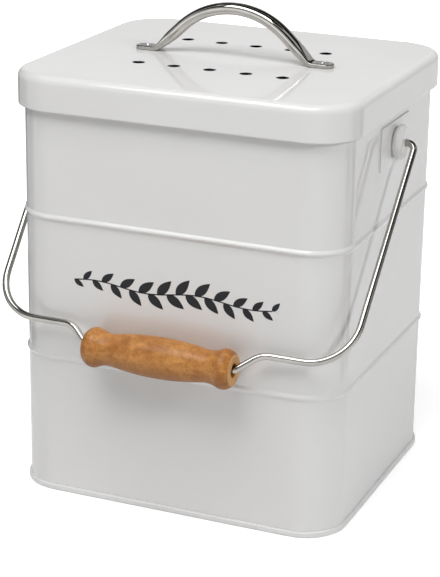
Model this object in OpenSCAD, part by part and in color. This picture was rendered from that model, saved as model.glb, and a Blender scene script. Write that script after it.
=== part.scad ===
// Countertop compost caddy: a sheet steel bin with a lift-off vented lid, a moulded inner bucket,
// a carbon filter under the lid and a wire bail with a turned wooden grip.
// Millimetres. The origin is on the floor under the middle of the bin, +Z is up, the front is -Y.

/* [Bin] */
// Width over the side walls
bin_w = 200; // [190:1:220]
// Depth over the front and back walls
bin_d = 176; // [166:1:190]
// Height to the top of the rolled rim
bin_h = 246.2; // [230:0.1:265]
// Outside radius of the upright corners
corner_r = 24.5; // [21:0.5:29]
// Thickness of the sheet steel of the bin and the lid
sheet_t = 0.7; // [0.5:0.05:0.8]
// Diameter of the rolled rim
roll_d = 2.2; // [2:0.1:2.4]
// Height of the lower bead above the floor
bead_low_z = 85.5; // [70:0.5:110]
// Height of the upper bead above the floor
bead_high_z = 170; // [150:0.5:185]
// How far a bead stands out of the wall
bead_out = 1.2; // [0.8:0.1:1.5]
// Height of a bead on the wall
bead_h = 4.6; // [4:0.1:6]
// Height of the folded seam at the foot
seam_h = 3.6; // [3.2:0.1:4.6]
// Radius of the seam's rounded lower edge
seam_r = 1.2; // [0.9:0.1:1.5]
// Height of the base panel's underside above the floor
base_z = 4.4; // [3:0.1:5]
// Rise of the stiffening step in the base panel
step_rise = 1.6; // [1:0.1:2.5]
// Distance of that step from the wall
step_inset = 17; // [12:1:24]
// Corner radius of that step
step_r = 12; // [8:0.5:18]

/* [Ears] */
// Distance from the top of the rim down to the bail's pivot
pivot_drop = 31.7; // [30:0.1:40]
// Length of an ear plate along the wall
ear_w = 50; // [36:1:60]
// Height of an ear plate
ear_h = 25.5; // [23:0.5:30]
// Thickness of an ear plate
ear_t = 1; // [0.8:0.1:1.5]
// Corner radius of an ear plate
ear_r = 2; // [1:0.5:6]
// Largest diameter of the round boss on the ear
boss_d = 20.6; // [19:0.1:22]
// Length of the boss from the ear plate to its flat face
boss_len = 6.2; // [5.6:0.1:6.8]
// Radius of the boss's rounded flank
boss_round = 3; // [2.6:0.1:3.4]
// How much of that rounding the flat face cuts off
face_cut = 0.2; // [0.1:0.1:0.5]
// Diameter of the boss's neck against the plate
neck_d = 16.4; // [14:0.2:18]
// Length of that neck
neck_len = 0.6; // [0.4:0.1:1]
// Depth of the blind socket that takes the bail's end
socket_depth = 6.8; // [6.2:0.1:7.2]
// Diameter of the rivet tail behind the boss
rivet_d = 6.5; // [6:0.5:8]
// Diameter of the rivet's formed head inside the bin
rivet_head_d = 10.5; // [9:0.5:12]
// Thickness of that head
rivet_head_t = 1.2; // [0.8:0.1:1.5]

/* [Lid] */
// How far the lid's skirt stands out past the bin's wall
lid_out = 3.8; // [3.7:0.1:4.6]
// Height of the lid from its lower edge to its top
lid_h = 20.6; // [17:0.1:24]
// Radius of the lid's rounded top edge
lid_edge_r = 4.8; // [3.5:0.1:5]
// Diameter of the hem rolled inside the skirt's lower edge
hem_d = 1.8; // [1.7:0.05:1.9]
// Diameter of a vent hole
vent_d = 7.4; // [6:0.2:8]
// Spacing of the vent holes along a row
vent_pitch = 22.2; // [20:0.2:22.6]
// Spacing of the two rows of vent holes
row_pitch = 70; // [60:1:72]
// Vent holes in a row
vent_count = 5; // [3:1:5]
// Width of the soft seal under the lid
seal_w = 3; // [2.4:0.1:3.4]
// Height of that seal
seal_h = 3.85; // [3.4:0.05:5]
// Distance of the seal's inner edge in from the bin's wall line
seal_inset = 4.8; // [4.6:0.1:5.2]

/* [Lid handle] */
// Distance between the two screws
screw_span = 110; // [108:1:118]
// Height of the handle above the lid
handle_rise = 32.2; // [29:0.1:36]
// Width of the bar
bar_w = 9; // [8:0.1:10]
// Thickness of the bar
bar_t = 7; // [6:0.1:7.5]
// Slope of the straight legs
leg_slope = 43.3; // [41:0.1:46]
// Distance from a screw in to where the leg's centreline meets the lid
leg_in = 5.8; // [5:0.1:7]
// Length of the foot past the screw
foot_out = 7; // [6:0.5:9]
// Width of the flattened foot
foot_w = 10; // [9:0.1:11]
// Thickness of the flattened foot
foot_t = 2.4; // [2:0.1:2.8]
// Radius of the hollow where the leg runs into the foot
foot_blend_r = 7; // [5:0.5:9]
// Diameter of the screws
screw_d = 4; // [3:0.5:4]
// Diameter of a screw's countersunk head
head_d = 7.6; // [7:0.1:8.2]
// Diameter of a washer
washer_d = 9; // [8.5:0.1:10]
// Thickness of a washer
washer_t = 0.8; // [0.6:0.1:1]
// Width of a nut across its flats
nut_af = 7; // [6.5:0.1:7.5]
// Thickness of a nut
nut_t = 3.2; // [2.4:0.1:3.4]

/* [Filter] */
// Depth of the filter frame, front to back
frame_d = 104; // [98:1:116]
// Height of the filter frame
frame_h = 16; // [15:0.5:20]
// Wall of the filter frame
frame_wall = 2; // [1.6:0.1:2.4]
// Thickness of the frame's flange under the lid
frame_top = 2; // [1.6:0.1:2.4]
// Outside corner radius of the frame
frame_r = 8; // [6:0.5:12]
// Clearance all round between the tray and the frame
tray_gap = 0.35; // [0.3:0.05:0.5]
// Wall of the tray
tray_wall = 1.6; // [1.2:0.1:2]
// Thickness of the tray's grille
grille_t = 2; // [1.6:0.1:2.4]
// Height of the tray
tray_h = 9.8; // [8:0.1:10.5]
// Width of a slot in the grille
slot_w = 6; // [4.5:0.5:8]
// Width of a bar of the grille
grille_bar = 3; // [2:0.5:4]
// Length of a pull tab under the tray
tab_len = 26; // [18:1:34]
// Height of a pull tab
tab_h = 5; // [4:0.5:7]
// Corner radius of a pull tab
tab_r = 1.6; // [0.8:0.1:1.9]
// Distance of the snug ribs from the tray's middle
rib_place = 36; // [20:1:50]
// Width of a snug rib
rib_w = 1.2; // [0.8:0.1:2]
// Height of a snug rib
rib_h = 7.8; // [5:0.1:8]
// Thickness of the carbon pad
pad_t = 5.6; // [4:0.1:6]

/* [Inner bucket] */
// Gap between the bin's wall and the bucket, just under the rim
bucket_gap = 2.8; // [2.6:0.1:4]
// Wall of the bucket
bucket_t = 1.8; // [1.4:0.1:2.2]
// How far each side draws in from the rim to the bottom
bucket_draft = 7; // [5:0.5:9]
// Outside corner radius of the bucket at its rim
bucket_r = 28; // [26:0.5:32]
// Radius of the rounded edge at the bottom
bottom_r = 8; // [5:0.5:10]
// Gap between the bucket's bottom and the base panel
bucket_lift = 4; // [2:0.5:8]
// Width of the standing ring round the bucket's bottom
foot_ring_w = 7; // [4:0.5:9]
// Height of that ring
foot_ring_h = 0.6; // [0.3:0.1:0.8]
// Thickness of the bucket's flange and lift tabs
flange_t = 2; // [1.6:0.1:2.4]
// Length of a lift tab
lift_w = 76; // [64:1:84]
// How far a lift tab reaches in from the wall
lift_in = 18; // [17:0.5:20]
// Corner radius of a lift tab
lift_r = 4; // [2:0.5:7]
// Width of the finger slot in a lift tab
finger_w = 10; // [9:0.5:11]
// Length of the finger slot
finger_len = 50; // [40:1:56]

/* [Bail] */
// Diameter of the bail's wire
wire_d = 4.1; // [3.5:0.1:4.5]
// Gap between the boss's face and the bail's leg
leg_gap = 3.5; // [3.2:0.1:4.6]
// How far each leg closes in at the crossbar
leg_draw = 3.5; // [2.5:0.5:4.5]
// Distance from the pivot to the crossbar
bar_reach = 140.5; // [136:0.5:150]
// How much further out the grip lies than the crossbar
grip_drop = 11.5; // [9:0.5:14]
// Slope of the wire between the crossbar and the grip
kink_slope = 41.5; // [38:0.5:46]
// Bend radius at the corners of the bail
corner_bend_r = 27; // [20:0.5:30]
// Bend radius where the crossbar steps out to the grip
kink_bend_r = 14; // [10:0.5:15]
// Bend radius at the mouth of the grip and at the ear
end_bend_r = 4.8; // [4.5:0.1:5.2]
// Gap between the grip and the front wall when the bail is down
rest_gap = 1.6; // [1:0.1:3]

/* [Grip] */
// Length of the wooden grip
grip_len = 91; // [88:1:100]
// Diameter at the middle
grip_mid_d = 23.8; // [22.5:0.1:25]
// Diameter at the waists
grip_waist_d = 18.6; // [17.5:0.1:19.5]
// Diameter of the round ends
grip_bulb_d = 23.2; // [22.5:0.1:24.5]
// Distance from an end to the waist
waist_from_end = 15.5; // [14:0.5:17]
// Distance from an end to the widest part of the bulb
bulb_from_end = 5.5; // [5:0.1:6]
// Radius of the rounded shoulder of a bulb
bulb_r = 6.3; // [6:0.1:6.8]
// Diameter of the wider mouth of the bore, where the wire bends
mouth_d = 7.6; // [7:0.1:8.5]
// Depth of that mouth
mouth_depth = 6; // [5:0.5:9]
// Chamfer at the edge of the mouth
mouth_chamfer = 0.8; // [0.4:0.1:0.8]

/* [Hidden] */
$fn = 64;

// Clearances between pieces
seat = 0.05;
rest = 0.2;
bolt_gap = 0.2;
socket_gap = 0.1;
grip_gap = 0.35;
pad_gap = 0.2;
frame_clear = 2.8;
air_margin = 1.5;
rib_gap = 0.1;

// Small overlap of touching shapes, and how far a cutter runs past what it cuts
eps = 0.01;
past = 1;

// Length of a screw past its nut
screw_tip = 0.8;

// Share of a rolled edge's hollow that its underside leaves open, and the least such hollow in the hem
curl_open = 0.8;
hem_hollow = 0.1;

// Step and overlap where one round surface runs into the next
joint_step = 0.02;
lap = 0.05;

// Heights through the lid, from the rim upwards
flange_z = bin_h + rest;
seal_z = flange_z + flange_t + rest - seat;
lid_under_z = seal_z + seal_h;
lid_top_z = lid_under_z + sheet_t;
lid_low_z = lid_top_z - lid_h;

// Filter under the lid
vent_field_w = (vent_count - 1) * vent_pitch + vent_d;
vent_field_d = row_pitch + vent_d;
bucket_top_w = bin_w - 2 * (sheet_t + bucket_gap);
bucket_top_d = bin_d - 2 * (sheet_t + bucket_gap);
lift_tip_x = bucket_top_w / 2 - bucket_t - lift_in;
frame_w = 2 * (lift_tip_x - frame_clear);
frame_low_z = lid_under_z - frame_h;
tray_w = frame_w - 2 * (frame_wall + tray_gap);
tray_d = frame_d - 2 * (frame_wall + tray_gap);
tray_r = frame_r - frame_wall - tray_gap;
pad_w = tray_w - 2 * (tray_wall + pad_gap);
pad_d = tray_d - 2 * (tray_wall + pad_gap);
pad_r = max(tray_r - tray_wall - pad_gap, 1);
snug_rib = tray_gap - rib_gap;
nut_low_z = lid_under_z - frame_top - washer_t - nut_t;

// Base panel and bucket
base_top_z = base_z + sheet_t + step_rise;
bucket_low_z = base_top_z + bucket_lift;

// Bail
pivot_z = bin_h - pivot_drop;
plate_x = bin_w / 2 + seat;
boss_x = plate_x + ear_t;
boss_face_x = boss_x + boss_len;
leg_x = boss_face_x + leg_gap + wire_d / 2;
bar_x = leg_x - leg_draw;
grip_reach = bar_reach + grip_drop;
mouth_x = grip_len / 2 - seat;
kink_x = mouth_x + grip_drop / tan(kink_slope);
bail_lean = asin((bin_d / 2 + grip_mid_d / 2 + rest_gap) / grip_reach);
bail_end_x = boss_face_x - socket_depth + 2 * socket_gap;

// Shapes that several pieces share

// Rectangle with round corners, centred
module rounded(w, d, r) {
    square([w - 2 * r, d], center = true);
    square([w, d - 2 * r], center = true);
    for (sx = [-1, 1], sy = [-1, 1])
        translate([sx * (w / 2 - r), sy * (d / 2 - r)]) circle(r);
}

// Slot with round ends along Y, centred
module slot2d(w, len) {
    square([w, len - w], center = true);
    for (sy = [-1, 1]) translate([0, sy * (len - w) / 2]) circle(w / 2);
}

// Sweeps a profile round a rounded rectangle: profile X points outwards from its line, profile Y is height
module around(w, d, r) {
    for (side = [0, 1]) rotate([0, 0, 180 * side]) {
        translate([w / 2, d / 2 - r, 0]) rotate([90, 0, 0]) linear_extrude(d - 2 * r) children();
        translate([-w / 2 + r, d / 2, 0]) rotate([90, 0, 90]) linear_extrude(w - 2 * r) children();
        translate([w / 2 - r, d / 2 - r, 0]) rotate_extrude(angle = 90) translate([r, 0]) children();
        translate([-w / 2 + r, d / 2 - r, 0]) rotate([0, 0, 90])
            rotate_extrude(angle = 90) translate([r, 0]) children();
    }
}

// Rounds a length to a thousandth of a millimetre
function round_to(v) = round(v * 1000) / 1000;

// Geometry of a path with a rounded bend at each inner point
function unit(v) = v / norm(v);
function half_angle(p, i) = acos(unit(p[i - 1] - p[i]) * unit(p[i + 1] - p[i])) / 2;
function bend_run(p, bends, i) =
    (i == 0 || i == len(p) - 1) ? 0 : bends[i - 1] / tan(half_angle(p, i));
function bend_centre(p, r, i) =
    p[i] + unit(unit(p[i - 1] - p[i]) + unit(p[i + 1] - p[i])) * r / sin(half_angle(p, i));

// One bend of such a path, swept; section X lies in the path's plane
module bend(points, bends, i) {
    $grow = 0;
    r = bends[i - 1];
    c = bend_centre(points, r, i);
    run = bend_run(points, bends, i);
    a = points[i] + unit(points[i - 1] - points[i]) * run - c;
    b = points[i] + unit(points[i + 1] - points[i]) * run - c;
    first = (a.x * b.y - a.y * b.x > 0) ? a : b;
    translate(c) rotate([0, 0, atan2(first.y, first.x)])
        rotate_extrude(angle = 180 - 2 * half_angle(points, i)) translate([r, 0]) children();
}

// Sweeps a section along such a path; the straights are a trace thicker and lap over the bends
module along(points, bends) {
    last = len(points) - 1;
    for (i = [0:last - 1]) {
        $grow = joint_step;
        dir = unit(points[i + 1] - points[i]);
        from = points[i] + dir * (bend_run(points, bends, i) - (i > 0 ? lap : 0));
        to = points[i + 1] - dir * (bend_run(points, bends, i + 1) - (i < last - 1 ? lap : 0));
        translate(from) rotate([0, 0, atan2(dir.y, dir.x)]) rotate([90, 0, 90])
            linear_extrude(norm(to - from)) children();
    }
    for (i = [1:last - 1]) bend(points, bends, i) children();
}

// Sheet rolled into an open curl that stands on the wall's line, seen in section
module curl(d, t) {
    difference() {
        circle(d / 2);
        circle(d / 2 - t);
        translate([t - d / 2, -d]) square([(d / 2 - t) * curl_open + eps, d]);
    }
}

// Bin

// Bead pressed outwards in the wall: a disc of sheet whose hollow opens inside
bead_arc_r = (bead_h * bead_h / 4 + bead_out * bead_out) / (2 * bead_out);
module bead_outside(z) {
    intersection() {
        translate([bead_out - bead_arc_r, z]) circle(bead_arc_r);
        translate([-sheet_t, z - bead_arc_r]) square([sheet_t + bead_out + past, 2 * bead_arc_r]);
    }
}
module bead_hollow(z) {
    translate([bead_out - bead_arc_r, z]) circle(bead_arc_r - sheet_t);
}

hook_low_z = sheet_t + seat;
hook_top_z = seam_h - sheet_t - seat;

module wall_section() {
    difference() {
        union() {
            translate([-sheet_t, hook_low_z]) square([sheet_t, bin_h - roll_d / 2 - hook_low_z]);
            bead_outside(bead_low_z);
            bead_outside(bead_high_z);
        }
        bead_hollow(bead_low_z);
        bead_hollow(bead_high_z);
    }
    translate([roll_d / 2 - sheet_t, bin_h - roll_d / 2]) curl(roll_d, sheet_t);
    // hook at the foot that the base panel folds round
    translate([-sheet_t, hook_low_z]) square([2 * sheet_t + seat, sheet_t]);
    translate([seat, hook_low_z]) square([sheet_t, hook_top_z - hook_low_z]);
}

module bin_wall() {
    color("whitesmoke") difference() {
        around(bin_w, bin_d, corner_r) wall_section();
        for (side = [-1, 1])
            translate([side * bin_w / 2, 0, pivot_z]) rotate([0, 90, 0])
                cylinder(h = 4 * (sheet_t + past), d = rivet_d + 2 * seat, center = true);
    }
}

seam_in = -2 * sheet_t - seat;
seam_out = 2 * (sheet_t + seat);

// Folded seam: the base panel's edge turns down inside the wall and wraps its hook from below and outside
module seam_section() {
    r = seam_r;
    t = sheet_t;
    wide = seam_out - seam_in;
    difference() {
        union() {
            translate([seam_in, r]) square([wide, seam_h - t - r]);
            translate([seam_in, 0]) square([wide - r, r + t]);
            translate([seam_out - r, r]) circle(r);
            translate([seat, seam_h - 2 * t]) square([seam_out - t - seat, 2 * t]);
            translate([seam_out - t, seam_h - t]) circle(t);
        }
        translate([seam_in + t, t]) square([wide - 2 * t, seam_h - 2 * t]);
    }
    translate([seam_in, r]) square([t, base_z + t - r]);
}

module base_panel() {
    flat_in = -2 * (seam_in + sheet_t / 2);
    step = 2 * step_inset;
    color("whitesmoke") {
        around(bin_w, bin_d, corner_r) seam_section();
        translate([0, 0, base_z]) {
            linear_extrude(sheet_t) difference() {
                rounded(bin_w - flat_in, bin_d - flat_in, corner_r - flat_in / 2);
                step_inside();
            }
            linear_extrude(step_rise + sheet_t) difference() {
                rounded(bin_w - step, bin_d - step, step_r);
                step_inside();
            }
            translate([0, 0, step_rise]) linear_extrude(sheet_t)
                rounded(bin_w - step - sheet_t, bin_d - step - sheet_t, step_r - sheet_t / 2);
        }
    }
}

module step_inside() {
    inner = 2 * (step_inset + sheet_t);
    rounded(bin_w - inner, bin_d - inner, step_r - sheet_t);
}

// Ears

module ear_plate(side) {
    color("whitesmoke") translate([side * (plate_x + ear_t / 2), 0, pivot_z]) rotate([0, 90, 0])
        linear_extrude(ear_t, center = true) difference() {
            rounded(ear_h, ear_w, ear_r);
            circle(d = rivet_d + 2 * seat);
        }
}

// Half section of the boss: X is the radius and Y the distance out from the ear plate
module boss_section() {
    flank_x = boss_d / 2 - boss_round;
    flank_y = boss_len - boss_round + face_cut;
    square([neck_d / 2, neck_len]);
    translate([0, neck_len]) square([flank_x, boss_len - neck_len]);
    intersection() {
        translate([flank_x, flank_y]) circle(boss_round);
        translate([0, neck_len]) square([boss_d, boss_len - neck_len]);
    }
    // rivet tail through the plate and the wall, and its formed head
    tail = ear_t + 2 * seat + sheet_t;
    translate([0, -tail - eps]) square([rivet_d / 2, tail + 2 * eps]);
    translate([0, -tail - rivet_head_t]) square([rivet_head_d / 2, rivet_head_t]);
}

module ear_boss(side) {
    color("whitesmoke") translate([side * boss_x, 0, pivot_z]) rotate([0, side * 90, 0]) difference() {
        rotate_extrude() boss_section();
        translate([0, 0, boss_len - socket_depth])
            cylinder(h = socket_depth + past, d = wire_d + 2 * socket_gap);
    }
}

module ear_plate_left() { ear_plate(-1); }
module ear_plate_right() { ear_plate(1); }
module ear_boss_left() { ear_boss(-1); }
module ear_boss_right() { ear_boss(1); }

// Inner bucket

// Draft line of the wall: how far it has drawn in where the bottom's rounding begins
bucket_top_z = flange_z + flange_t;
foot_u = -round_to(bucket_draft * (1 - bottom_r / (bucket_top_z - bucket_low_z)));

// Wall and rounded bottom edge; X = 0 is the wall's outer face at the rim
module bucket_section() {
    r = bottom_r;
    z = bucket_low_z + r;
    t = bucket_t;
    polygon([[0, bucket_top_z], [-t, bucket_top_z], [foot_u - t, z], [foot_u, z]]);
    intersection() {
        translate([foot_u - r, z]) difference() {
            circle(r);
            circle(r - t);
        }
        translate([foot_u - r, z - r]) square(r);
    }
}

module bucket_floor() {
    inset = bottom_r - foot_u;
    foot = inset + foot_ring_w;
    difference() {
        translate([0, 0, bucket_low_z]) linear_extrude(bucket_t)
            rounded(bucket_top_w - 2 * inset, bucket_top_d - 2 * inset, bucket_r - inset);
        translate([0, 0, bucket_low_z - past]) linear_extrude(past + foot_ring_h)
            rounded(bucket_top_w - 2 * foot, bucket_top_d - 2 * foot, bucket_r - inset - foot_ring_w);
    }
}

module inner_bucket() {
    out = roll_d - sheet_t;
    inner_w = bucket_top_w - 2 * bucket_t;
    inner_d = bucket_top_d - 2 * bucket_t;
    color("lightgray") {
        around(bucket_top_w, bucket_top_d, bucket_r) bucket_section();
        bucket_floor();
        translate([0, 0, flange_z]) linear_extrude(flange_t) difference() {
            rounded(bin_w + 2 * out, bin_d + 2 * out, corner_r + out);
            rounded(inner_w, inner_d, bucket_r - bucket_t);
        }
        for (side = [-1, 1]) translate([side * (lift_tip_x + lift_in / 2), 0, flange_z])
            linear_extrude(flange_t) difference() {
                union() {
                    rounded(lift_in, lift_w, lift_r);
                    translate([side * lift_in / 4, 0]) square([lift_in / 2 + eps, lift_w], center = true);
                }
                slot2d(finger_w, finger_len);
            }
    }
}

// Lid

lid_w = bin_w + 2 * lid_out;
lid_d = bin_d + 2 * lid_out;
lid_r = corner_r + lid_out;

module lid_section() {
    r = lid_edge_r;
    t = sheet_t;
    translate([-t, lid_low_z + hem_d / 2]) square([t, lid_h - hem_d / 2 - r]);
    intersection() {
        translate([-r, lid_top_z - r]) difference() {
            circle(r);
            circle(r - t);
        }
        translate([-r, lid_top_z - r]) square(r);
    }
    translate([-hem_d / 2, lid_low_z + hem_d / 2]) rotate(180) curl(hem_d, min(t, hem_d / 2 - hem_hollow));
}

module screw_places() {
    for (side = [-1, 1]) translate([side * screw_span / 2, 0, 0]) children();
}

module lid_shell() {
    inset = 2 * lid_edge_r;
    color("whitesmoke") difference() {
        union() {
            around(lid_w, lid_d, lid_r) lid_section();
            translate([0, 0, lid_under_z]) linear_extrude(sheet_t)
                rounded(lid_w - inset, lid_d - inset, lid_r - inset / 2);
        }
        for (i = [0:vent_count - 1], row = [-1, 1])
            translate([(i - (vent_count - 1) / 2) * vent_pitch, row * row_pitch / 2, lid_under_z - past])
                cylinder(h = sheet_t + 2 * past, d = vent_d);
        screw_places() translate([0, 0, lid_under_z - past])
            cylinder(h = sheet_t + 2 * past, d = screw_d + 2 * bolt_gap);
    }
}

// Soft seal under the lid: a flat back with a round lip that lands on the bucket's flange
module lid_seal() {
    lip_r = seal_w / 2;
    inset = seal_inset - lip_r;
    color("gainsboro") around(bin_w - 2 * inset, bin_d - 2 * inset, corner_r - inset) {
        translate([-lip_r, seal_z + lip_r]) square([seal_w, seal_h - lip_r]);
        translate([0, seal_z + lip_r]) circle(lip_r);
    }
}

// Lid handle: a drawn bar with straight legs, one round arch and flattened feet
leg_foot_x = screw_span / 2 - leg_in;
peak_z = leg_foot_x * tan(leg_slope);
arch_r = (peak_z - handle_rise + bar_t / 2) / (1 / cos(leg_slope) - 1);

module bar_section() {
    t = bar_t + 2 * $grow;
    flat = bar_w - bar_t;
    square([t, flat], center = true);
    for (s = [-1, 1]) translate([0, s * flat / 2]) circle(t / 2);
}

module foot_outline() {
    inner_x = leg_foot_x - bar_t / 2;
    outer_x = screw_span / 2 + foot_out;
    translate([inner_x, -foot_w / 2]) square([outer_x - foot_w / 2 - inner_x, foot_w]);
    translate([outer_x - foot_w / 2, 0]) circle(foot_w / 2);
}

// How far the legs run on below the lid's top before they are cut off
below = 10;

module lid_handle() {
    end_x = leg_foot_x + below / tan(leg_slope);
    // the leg also bends out into the foot, its upper face just under the foot's flat top
    sunk = foot_t - bar_t / 2 - joint_step;
    corner_x = leg_foot_x - sunk / tan(leg_slope);
    color("silver") difference() {
        translate([0, 0, lid_top_z]) {
            rotate([90, 0, 0]) {
                along([[-end_x, -below], [0, peak_z], [end_x, -below]], [arch_r]) bar_section();
                for (side = [0, 1]) mirror([side, 0, 0])
                    bend([[0, peak_z], [corner_x, sunk], [corner_x + below, sunk]],
                         [foot_blend_r + bar_t / 2], 1) bar_section();
            }
            for (side = [0, 1]) mirror([side, 0, 0]) linear_extrude(foot_t) foot_outline();
        }
        translate([0, 0, lid_top_z - 2 * below]) linear_extrude(2 * below)
            square([4 * leg_foot_x, 4 * bar_w], center = true);
        screw_places() translate([0, 0, lid_top_z]) screw_hole();
    }
}

// Through hole with a countersink and a shallow seat cut into the root of the leg
sink_h = (head_d - screw_d) / 2;
module screw_hole() {
    hole = screw_d + 2 * bolt_gap;
    mouth = head_d + 2 * bolt_gap;
    translate([0, 0, -past]) cylinder(h = foot_t + past, d = hole);
    translate([0, 0, foot_t - sink_h]) cylinder(h = sink_h, d1 = hole, d2 = mouth);
    translate([0, 0, foot_t - eps]) cylinder(h = bar_t, d = mouth);
}

module handle_screws() {
    top = lid_top_z + foot_t;
    low = nut_low_z - screw_tip;
    color("silver") screw_places() {
        translate([0, 0, low]) cylinder(h = top - sink_h - low + eps, d = screw_d);
        translate([0, 0, top - sink_h]) cylinder(h = sink_h, d1 = screw_d, d2 = head_d);
    }
}

module screw_washers() {
    color("silver") screw_places() translate([0, 0, lid_under_z - frame_top - washer_t]) difference() {
        cylinder(h = washer_t, d = washer_d);
        translate([0, 0, -past]) cylinder(h = washer_t + 2 * past, d = screw_d + bolt_gap);
    }
}

module screw_nuts() {
    color("silver") screw_places() translate([0, 0, nut_low_z]) difference() {
        cylinder(h = nut_t, d = nut_af / cos(30), $fn = 6);
        translate([0, 0, -past]) cylinder(h = nut_t + 2 * past, d = screw_d + 2 * seat);
    }
}

// Filter

module filter_frame() {
    skirt_h = frame_h - frame_top;
    color("dimgray") {
        translate([0, 0, frame_low_z]) linear_extrude(skirt_h) difference() {
            rounded(frame_w, frame_d, frame_r);
            rounded(frame_w - 2 * frame_wall, frame_d - 2 * frame_wall, frame_r - frame_wall);
        }
        translate([0, 0, lid_under_z - frame_top]) linear_extrude(frame_top) difference() {
            rounded(frame_w, frame_d, frame_r);
            difference() {
                rounded(
                    vent_field_w + 2 * air_margin, vent_field_d + 2 * air_margin, vent_d / 2 + air_margin
                );
                screw_places() circle(d = washer_d + 2 * air_margin);
            }
            screw_places() circle(d = screw_d + 2 * bolt_gap);
        }
    }
}

module grille() {
    field_w = tray_w - 2 * tray_wall - grille_bar;
    count = floor(field_w / (slot_w + grille_bar));
    pitch = field_w / count;
    slot_len = (tray_d - 2 * tray_wall) / 2 - 1.5 * grille_bar;
    difference() {
        rounded(tray_w, tray_d, tray_r);
        for (i = [0:count - 1], row = [-1, 1])
            translate([(i - (count - 1) / 2) * pitch, row * (slot_len + grille_bar) / 2])
                slot2d(slot_w, slot_len);
    }
}

module filter_tray() {
    tab_t = tray_wall;
    color("dimgray") translate([0, 0, frame_low_z]) {
        linear_extrude(grille_t) grille();
        translate([0, 0, grille_t]) linear_extrude(tray_h - grille_t) difference() {
            rounded(tray_w, tray_d, tray_r);
            rounded(tray_w - 2 * tray_wall, tray_d - 2 * tray_wall, max(tray_r - tray_wall, 1));
        }
        // ribs that hold the tray in the frame by light friction
        for (sx = [-1, 1], sy = [-1, 1])
            translate([sx * rib_place, sy * (tray_d / 2 + snug_rib / 2 - eps), tray_h / 2])
                cube([rib_w, snug_rib + 2 * eps, rib_h], center = true);
        // pull tabs for finger and thumb
        for (side = [-1, 1]) translate([side * (tray_w / 2 - tab_t / 2), 0, 0]) rotate([0, 90, 0])
            linear_extrude(tab_t, center = true) {
                translate([tab_h / 2 - tab_h / 4, 0]) square([tab_h / 2, tab_len], center = true);
                translate([tab_h / 2, 0]) rounded(tab_h, tab_len, tab_r);
            }
    }
}

module carbon_filter() {
    color("#2b2b2b") translate([0, 0, frame_low_z + grille_t + pad_gap]) linear_extrude(pad_t)
        rounded(pad_w, pad_d, pad_r);
}

// Bail and grip, drawn in the bail's own plane: X across, Y away from the pivot

module in_bail_plane() {
    translate([0, 0, pivot_z]) rotate([-90 - bail_lean, 0, 0]) children();
}

module bail_wire() {
    half = [[bail_end_x, 0], [leg_x, 0], [bar_x, bar_reach], [kink_x, bar_reach], [mouth_x, grip_reach]];
    points = concat(half, [for (i = [len(half) - 1:-1:0]) [-half[i].x, half[i].y]]);
    half_bends = [end_bend_r, corner_bend_r, kink_bend_r, end_bend_r];
    bends = concat(half_bends, [for (i = [len(half_bends) - 1:-1:0]) half_bends[i]]);
    color("silver") in_bail_plane() along(points, bends) circle(d = wire_d + 2 * $grow);
}

// Half outline of the grip from three round arcs that meet smoothly
mid_r = grip_mid_d / 2;
waist_r = grip_waist_d / 2;
end_r = grip_bulb_d / 2;
waist_x = grip_len / 2 - waist_from_end;
bulb_x = grip_len / 2 - bulb_from_end;
function arc_sum(run, rise) = (run * run + rise * rise) / (2 * rise);
waist_arc = arc_sum(bulb_x - waist_x, end_r - waist_r) - bulb_r;
mid_arc = arc_sum(waist_x, mid_r - waist_r) - waist_arc;
mid_meet_x = waist_x * mid_arc / (mid_arc + waist_arc);
bulb_meet_x = waist_x + (bulb_x - waist_x) * waist_arc / (waist_arc + bulb_r);

module grip_outline() {
    intersection() {
        translate([0, mid_r - mid_arc]) circle(mid_arc, $fn = 360);
        translate([-mid_meet_x, 0]) square([2 * mid_meet_x, 2 * mid_r]);
    }
    for (side = [0, 1]) mirror([side, 0]) {
        difference() {
            translate([mid_meet_x - lap, 0]) square([bulb_meet_x - mid_meet_x + 2 * lap, mid_r]);
            translate([waist_x, waist_r + waist_arc]) circle(waist_arc + joint_step, $fn = 128);
        }
        intersection() {
            translate([bulb_x, end_r - bulb_r]) circle(bulb_r);
            translate([bulb_meet_x, 0]) square([grip_len / 2 - bulb_meet_x, 2 * end_r]);
        }
        translate([bulb_meet_x, 0]) square([grip_len / 2 - bulb_meet_x, end_r - bulb_r]);
    }
}

module wooden_grip() {
    half = grip_len / 2;
    color("peru") in_bail_plane() translate([0, grip_reach, 0]) rotate([0, 90, 0]) difference() {
        rotate_extrude() rotate(-90) grip_outline();
        cylinder(h = grip_len + 2 * past, d = wire_d + 2 * grip_gap, center = true);
        for (side = [0, 1]) mirror([0, 0, side]) {
            translate([0, 0, half - mouth_depth]) cylinder(h = mouth_depth + past, d = mouth_d);
            translate([0, 0, half - mouth_chamfer])
                cylinder(h = mouth_chamfer + eps, d1 = mouth_d, d2 = mouth_d + 2 * mouth_chamfer);
        }
    }
}

bin_wall();
base_panel();
ear_plate_left();
ear_plate_right();
ear_boss_left();
ear_boss_right();
inner_bucket();
lid_shell();
lid_seal();
lid_handle();
handle_screws();
screw_washers();
screw_nuts();
filter_frame();
filter_tray();
carbon_filter();
bail_wire();
wooden_grip();
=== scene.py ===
import math

import bmesh
import bpy
from mathutils import Matrix, Vector


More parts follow.
